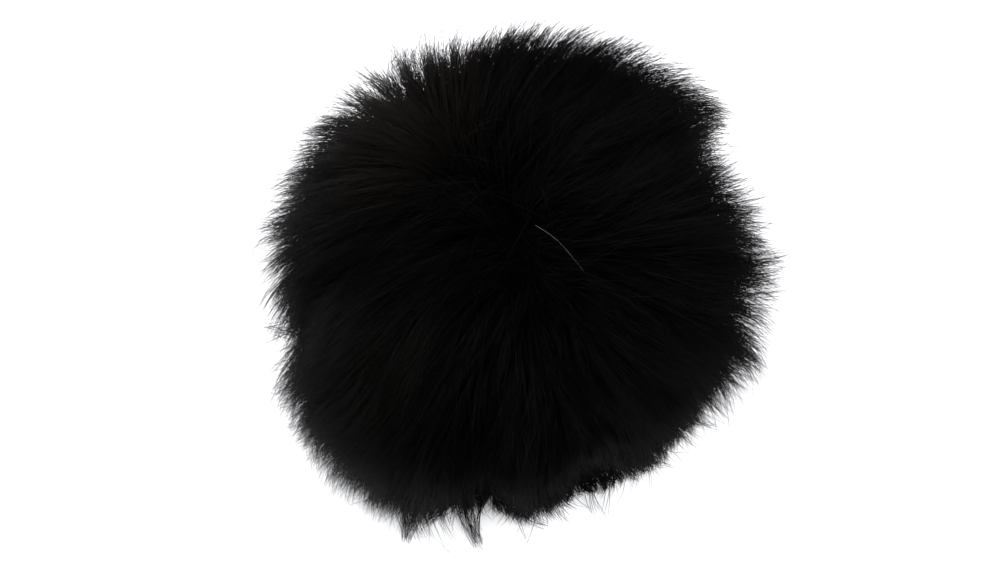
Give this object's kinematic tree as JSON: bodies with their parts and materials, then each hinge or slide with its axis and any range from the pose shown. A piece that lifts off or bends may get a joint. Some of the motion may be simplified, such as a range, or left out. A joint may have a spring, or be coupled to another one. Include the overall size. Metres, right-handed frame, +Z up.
{
  "type": "furry windscreen",
  "caption": "Black long-pile fur windscreen for a microphone: a domed foam cup with a fur cover that lifts off, gathered at an elastic mouth.",
  "frame": {"origin": "centre of the mouth, on the surface that the windscreen stands on", "axes": "+Z up the axis from the mouth to the crown; -Y towards the front gore; +X to the right"},
  "size_m": [0.1176, 0.1176, 0.1003],
  "materials": {
    "fur": "matte",
    "foam": "matte",
    "glue": "satin",
    "scrim": "matte",
    "lining": "matte",
    "tape": "matte",
    "casing": "matte",
    "elastic": "matte",
    "thread": "satin"
  },
  "bodies": {
    "foam_insert": {"foam_sleeve": "foam", "foam_glue_ring": "glue", "foam_dome": "foam", "scrim_sleeve": "scrim", "scrim_dome": "scrim", "scrim_join_stitches": "thread", "rim_tape": "tape", "rim_stitches_outer": "thread", "rim_stitches_inner": "thread"},
    "fur_cover": {"fur_gore_front": "fur", "fur_gore_right": "fur", "fur_gore_back": "fur", "fur_gore_left": "fur", "gore_seam_stitches_right_back": "thread", "gore_seam_stitches_back_left": "thread", "gore_seam_stitches_left_front": "thread", "gore_seam_stitches_front_right": "thread", "crown_patch": "lining", "crown_patch_stitches": "thread", "lining_sleeve": "lining", "lining_dome": "lining", "lining_join_stitches": "thread", "hem_casing": "casing", "casing_stitches_inner": "thread", "casing_stitches_outer": "thread", "elastic_band": "elastic", "elastic_lap": "elastic"}
  },
  "joints": [
    {"name": "cover_lift", "type": "slide", "parent": "foam_insert", "child": "fur_cover", "axis": [0, 0, 1], "range_m": [0, 0.1]}
  ]
}
